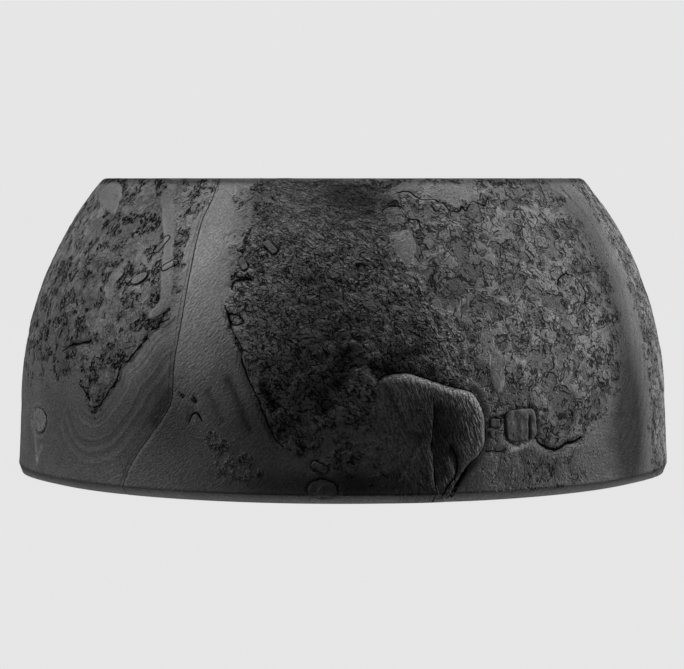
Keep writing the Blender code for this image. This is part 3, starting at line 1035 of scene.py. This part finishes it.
def basalt_colour(tree, marks):
    """Base colour and specular level: the rock's tone and blotches, with painted light and shade,
    painted highlight on rises and painted shade in hollows, less at each dark mark.
    """
    tone, cavity = tree.read("tone"), tree.read("cavity")
    plated = tree.most(marks.flaky, tree.times(marks.pitted, 0.5))
    lights = (
        tree.times(tone, BASALT),
        tree.fade(tree.noise(marks.place, 0.16, 4.0, 0.6), 0.3, 0.7, 0.85, 1.15),
        tree.fade(tree.noise(marks.place, 4.0, 2.0, 0.7), 0.3, 0.7, 0.7, 1.3),
        tree.blend(marks.banded, 1.0, tree.fade(marks.layers, 0.3, 0.7, 0.65, 1.35)),
        tree.blend(plated, 1.0, tree.scaled(marks.lifted, 0.36, 0.72)),
        # Painted highlight where a point rises above its neighbourhood.
        tree.scaled(tree.fade(cavity, -0.1, -0.9), 0.4, 1.0),
    )
    # Painted shade in hollows first, then dark marks along creases, worm pits, specks, outlines and
    # drawn lines, which the bump also sinks: partly the rock's dark grain, partly painted shade in
    # those grooves. They dim the sheen too.
    darks = (
        (tree.fade(cavity, 0.05, 0.9), 0.28), (marks.outline, 0.75), (marks.creases, 0.85),
        (marks.specks, 0.5), (marks.clusters, 0.15), (marks.worms, 0.9), (marks.hatch_lines, 0.55),
        (marks.seams, 0.25), (marks.line_shade, 0.92),
    )
    bare = tree.times(*(tree.scaled(dark, -depth, 1.0) for dark, depth in darks))
    # The specular level follows the tone, so the tone's painted light and shade also lift and dim the
    # sheen.
    gloss = tree.times(tree.fade(tone, 0.1, 1.4, 0.2, 1.3), tree.scaled(marks.flat, -0.6, 1.0))
    tree.feed(tree.shader.inputs["Base Color"], tree.times(*lights, bare))
    tree.feed(tree.shader.inputs["Specular IOR Level"], tree.times(bare, gloss, SHEEN))


def basalt_bump(tree, marks):
    """Relief finer than the mesh, in mm."""
    strokes = tree.noise(tree.stroked(-38, 0.7, 1.3), 1.1, 2.0, 0.5, 1.0)
    ripples = tree.noise(tree.stroked(42, 0.6, 1.5), 3.2, 2.0, 0.5, 0.3)
    covered = tree.most(marks.rock, marks.banded, tree.times(marks.flat, 0.6))
    parts = (
        (tree.times(marks.lifted, marks.rock), 0.06), (marks.outline, -0.12),
        (marks.creases, -0.26), (marks.specks, -0.05), (marks.worms, -0.26), (marks.line_shade, -0.14),
        (tree.times(strokes, marks.crumpled), 0.42), (tree.times(marks.hatch, marks.lump), 0.20),
        (tree.times(ripples, tree.math("SUBTRACT", 1.0, covered)), 0.09),
        (tree.noise(marks.place, 4.5, 3.0, 0.65), 0.05),
        (tree.times(marks.layers, marks.banded), 0.05),
    )
    height = 0.0
    for part, scale in parts:
        height = tree.scaled(part, scale, height)
    tree.feed(tree.shader.inputs["Normal"], tree.bump(height, MM, 1.0))


def basalt_material():
    """Dark honed basalt: rougher where the rock is broken, duller on the flat top and base."""
    tree = Tree("basalt")
    marks = basalt_marks(tree)
    basalt_colour(tree, marks)
    basalt_bump(tree, marks)
    rough = tree.fade(tree.noise(marks.place, 1.1, 3.0), 0.3, 0.7, 0.36, 0.52)
    rough = tree.scaled(marks.rock, 0.08, tree.scaled(marks.flat, 0.2, rough))
    tree.feed(tree.shader.inputs["Roughness"], rough)
    return tree.material


def grain_material(name, shade, roughness, streak, fleck):
    """One mineral: a slow blotch, streaks along the grain and small dark flecks, times the tone, which
    carries painted light and shade.
    """
    tree = Tree(name)
    place = tree.place()
    blotch = tree.fade(tree.noise(place, 0.9, 4.0, 0.6, 0.5), 0.3, 0.7, 0.75, 1.25)
    strokes = tree.fade(tree.noise(tree.place(streak), 1.6, 4.0, 0.6), 0.3, 0.7, 0.85, 1.15)
    flecks = tree.fade(tree.noise(place, fleck, 2.0), 0.54, 0.66, 1.0, 0.45)
    tone = tree.scaled(tree.read("tone"), 0.8, 0.2)
    tree.feed(tree.shader.inputs["Base Color"], tree.times(blotch, strokes, flecks, tone, shade))
    rough = tree.fade(tree.noise(place, 2.0, 3.0), 0.3, 0.7, roughness - 0.08, roughness + 0.08)
    tree.feed(tree.shader.inputs["Roughness"], rough)
    tree.shader.inputs["Specular IOR Level"].default_value = SHEEN
    height = tree.scaled(tree.noise(place, 4.0, 4.0, 0.65), 0.05, tree.times(flecks, 0.04))
    tree.feed(tree.shader.inputs["Normal"], tree.bump(height, MM, 0.8))
    return tree.material


# Each grain: slot, voxel size, how far it stands proud, and its surface's roughness, all in mm.
GRAIN_LOOKS = {
    "block_clast": ("clast", 0.12, 0.06, 0.09), "corner_chip": ("clast", 0.06, 0.03, 0.05),
    "edge_clast": ("clast", 0.10, 0.00, 0.10), "foot_lath": ("crystal", 0.05, 0.06, 0.03),
    "pale_amygdale": ("amygdale", 0.11, 0.02, 0.05), "crystal_leaf": ("crystal", 0.06, 0.03, 0.03),
    "crystal_lath": ("crystal", 0.05, 0.06, 0.03), "hook_crystal": ("crystal", 0.05, 0.05, 0.03),
}
# The block's cleft: the angle it stands at, the height it reaches, its half-width and depth, mm.
CLEFT_ANGLE = 31.7
CLEFT_TOP = 9.1
CLEFT_WIDTH = 0.13
CLEFT_DEPTH = 0.30
MM_A_DEGREE = 0.7


def refined(node, voxel):
    """The CAD node's shape as an even fine mesh: points in mm, outward directions and faces."""
    copy = bpy.data.objects.new("refining", node.data.copy())
    bpy.context.scene.collection.objects.link(copy)
    remesh = copy.modifiers.new("even", "REMESH")
    remesh.mode = "VOXEL"
    remesh.voxel_size = voxel * MM
    graph = bpy.context.evaluated_depsgraph_get()
    mesh = bpy.data.meshes.new_from_object(copy.evaluated_get(graph))
    points = np.array([vertex.co for vertex in mesh.vertices]) / MM
    out = np.array([vertex.normal for vertex in mesh.vertices])
    faces = [tuple(face.vertices) for face in mesh.polygons]
    bpy.data.objects.remove(copy)
    bpy.data.meshes.remove(mesh)
    return points, out, faces


def block_cleft(angle, height):
    """One along the middle of the block's cleft, nothing away from it."""
    off = (angle - CLEFT_ANGLE) * MM_A_DEGREE
    rise = smoothstep(height, CLEFT_TOP + 0.4, CLEFT_TOP - 0.2)
    return rise * np.exp(-(off / CLEFT_WIDTH) ** 2)


def grain_pieces(frame, materials):
    """A finer, rougher copy of each grain, in its CAD node's place."""
    noise = Noise(GRAIN_SEED)
    for name, (slot, voxel, proud, roughness) in GRAIN_LOOKS.items():
        points, out, faces = refined(frame["nodes"][name], voxel)
        axis = points.mean(axis=0) * np.array([1, 1, 0])
        outward = np.clip(out @ (axis / np.linalg.norm(axis)), 0, 1)
        texture = layered(noise, points * 0.9, 3)
        rise = proud * outward + roughness * (texture - 0.4)
        points = points + out * rise[:, None]
        angle = np.degrees(np.arctan2(points[:, 0], -points[:, 1]))
        # The grains take the side's tone spots too, with their painted light and shade.
        tone = tone_at(angle, points[:, 2])
        if name == "block_clast":
            cleft = block_cleft(angle, points[:, 2])
            points = points - out * (CLEFT_DEPTH * cleft * outward)[:, None]
            # Painted shade in the block's cleft.
            tone = tone * (1 - 0.9 * cleft)
        piece = mesh_of(name + "_grain", points, faces, {"tone": tone})
        piece.data.materials.append(materials[slot])
        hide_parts(name)
        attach(piece, "root")


# Studio, metres and watts. The backdrop and the floor look alike to the camera.
BACKDROP = 0.791
FLOOR_GLOW = 0.788
FLOOR_COLOUR = (0.004, 0.004, 0.004, 1)
FLOOR_SIDE = 12.0
AMBIENT = 0.03
MIDDLE = (0, 0, 0.02)
# Each light: name, place, target, width and height, power.
LIGHTS = (
    ("overhead", (0.05, 0.02, 0.50), MIDDLE, (0.36, 0.26), 3.6),
    ("right_strip", (0.42, 0.06, 0.12), MIDDLE, (0.10, 0.30), 2.1),
    ("left_strip", (-0.42, -0.04, 0.22), MIDDLE, (0.12, 0.30), 1.5),
    ("front_fill", (0.0, -0.60, 0.30), MIDDLE, (0.4, 0.3), 0.12),
    ("floor_bounce", (0.0, -0.08, -0.10), (0, -0.08, 0), (0.5, 0.4), 0.25),
)
# Camera: at the height of the flat top, looking a little down.
LENS = 141.45
SENSOR = 36
EYE = (-0.0001, -0.333, 0.0358)
LOOK_DOWN = 3.327


def studio_floor():
    """A pale plane that the camera sees as the same even tone as the backdrop."""
    bpy.ops.mesh.primitive_plane_add(size=FLOOR_SIDE, location=(0, 0, 0))
    floor = bpy.context.object
    floor.name = "studio_floor"
    tree = Tree("studio_floor")
    tree.shader.inputs["Base Color"].default_value = FLOOR_COLOUR
    tree.shader.inputs["Roughness"].default_value = 1
    tree.shader.inputs["Specular IOR Level"].default_value = 0
    tree.shader.inputs["Emission Color"].default_value = (1, 1, 1, 1)
    tree.shader.inputs["Emission Strength"].default_value = FLOOR_GLOW
    floor.data.materials.append(tree.material)
    floor.visible_diffuse = False
    floor.visible_glossy = False
    floor.visible_shadow = False


def studio_world(ambient):
    """A faint even light for the stone, and the pale backdrop for the camera."""
    world = bpy.data.worlds.new("studio")
    bpy.context.scene.world = world
    world.use_nodes = True
    nodes, links = world.node_tree.nodes, world.node_tree.links
    seen = nodes["Background"]
    seen.inputs["Color"].default_value = (BACKDROP, BACKDROP, BACKDROP, 1)
    lit = nodes.new("ShaderNodeBackground")
    lit.inputs["Color"].default_value = (ambient, ambient, ambient, 1)
    path = nodes.new("ShaderNodeLightPath")
    mix = nodes.new("ShaderNodeMixShader")
    links.new(path.outputs["Is Camera Ray"], mix.inputs[0])
    links.new(lit.outputs[0], mix.inputs[1])
    links.new(seen.outputs[0], mix.inputs[2])
    links.new(mix.outputs[0], nodes["World Output"].inputs["Surface"])


def soft_light(name, place, target, size, power):
    lamp = bpy.data.lights.new(name, "AREA")
    lamp.shape = "RECTANGLE"
    lamp.size, lamp.size_y = size
    lamp.energy = power
    light = bpy.data.objects.new(name, lamp)
    light.location = place
    aim = Vector(target) - Vector(place)
    light.rotation_euler = aim.to_track_quat("-Z", "Y").to_euler()
    light.visible_camera = False
    bpy.context.scene.collection.objects.link(light)


def studio():
    studio_world(AMBIENT)
    studio_floor()
    for light in LIGHTS:
        soft_light(*light)


def camera():
    data = bpy.data.cameras.new("camera")
    data.lens = LENS
    data.sensor_width = SENSOR
    eye = bpy.data.objects.new("camera", data)
    eye.location = EYE
    eye.rotation_euler = (math.radians(90 - LOOK_DOWN), 0, 0)
    bpy.context.scene.collection.objects.link(eye)
    bpy.context.scene.camera = eye
    bpy.context.scene.view_settings.view_transform = "Standard"


def corners(bounds):
    return [list(corner) for corner in bounds]


def main():
    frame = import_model()
    cad_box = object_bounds()
    profile = Profile((cad_box[1].x - cad_box[0].x) / 2 / MM, cad_box[1].z / MM)
    camera()
    studio()
    skin = stone_skin(frame, profile)
    skin.data.materials.append(basalt_material())
    materials = {
        "clast": grain_material("clast", 0.072, 0.6, (1, 1, 0.4), 3.0),
        "amygdale": grain_material("amygdale", 0.155, 0.5, (1, 1, 0.3), 1.8),
        "crystal": grain_material("crystal", 0.072, 0.45, (0.4, 0.4, 1), 2.5),
    }
    grain_pieces(frame, materials)


main()
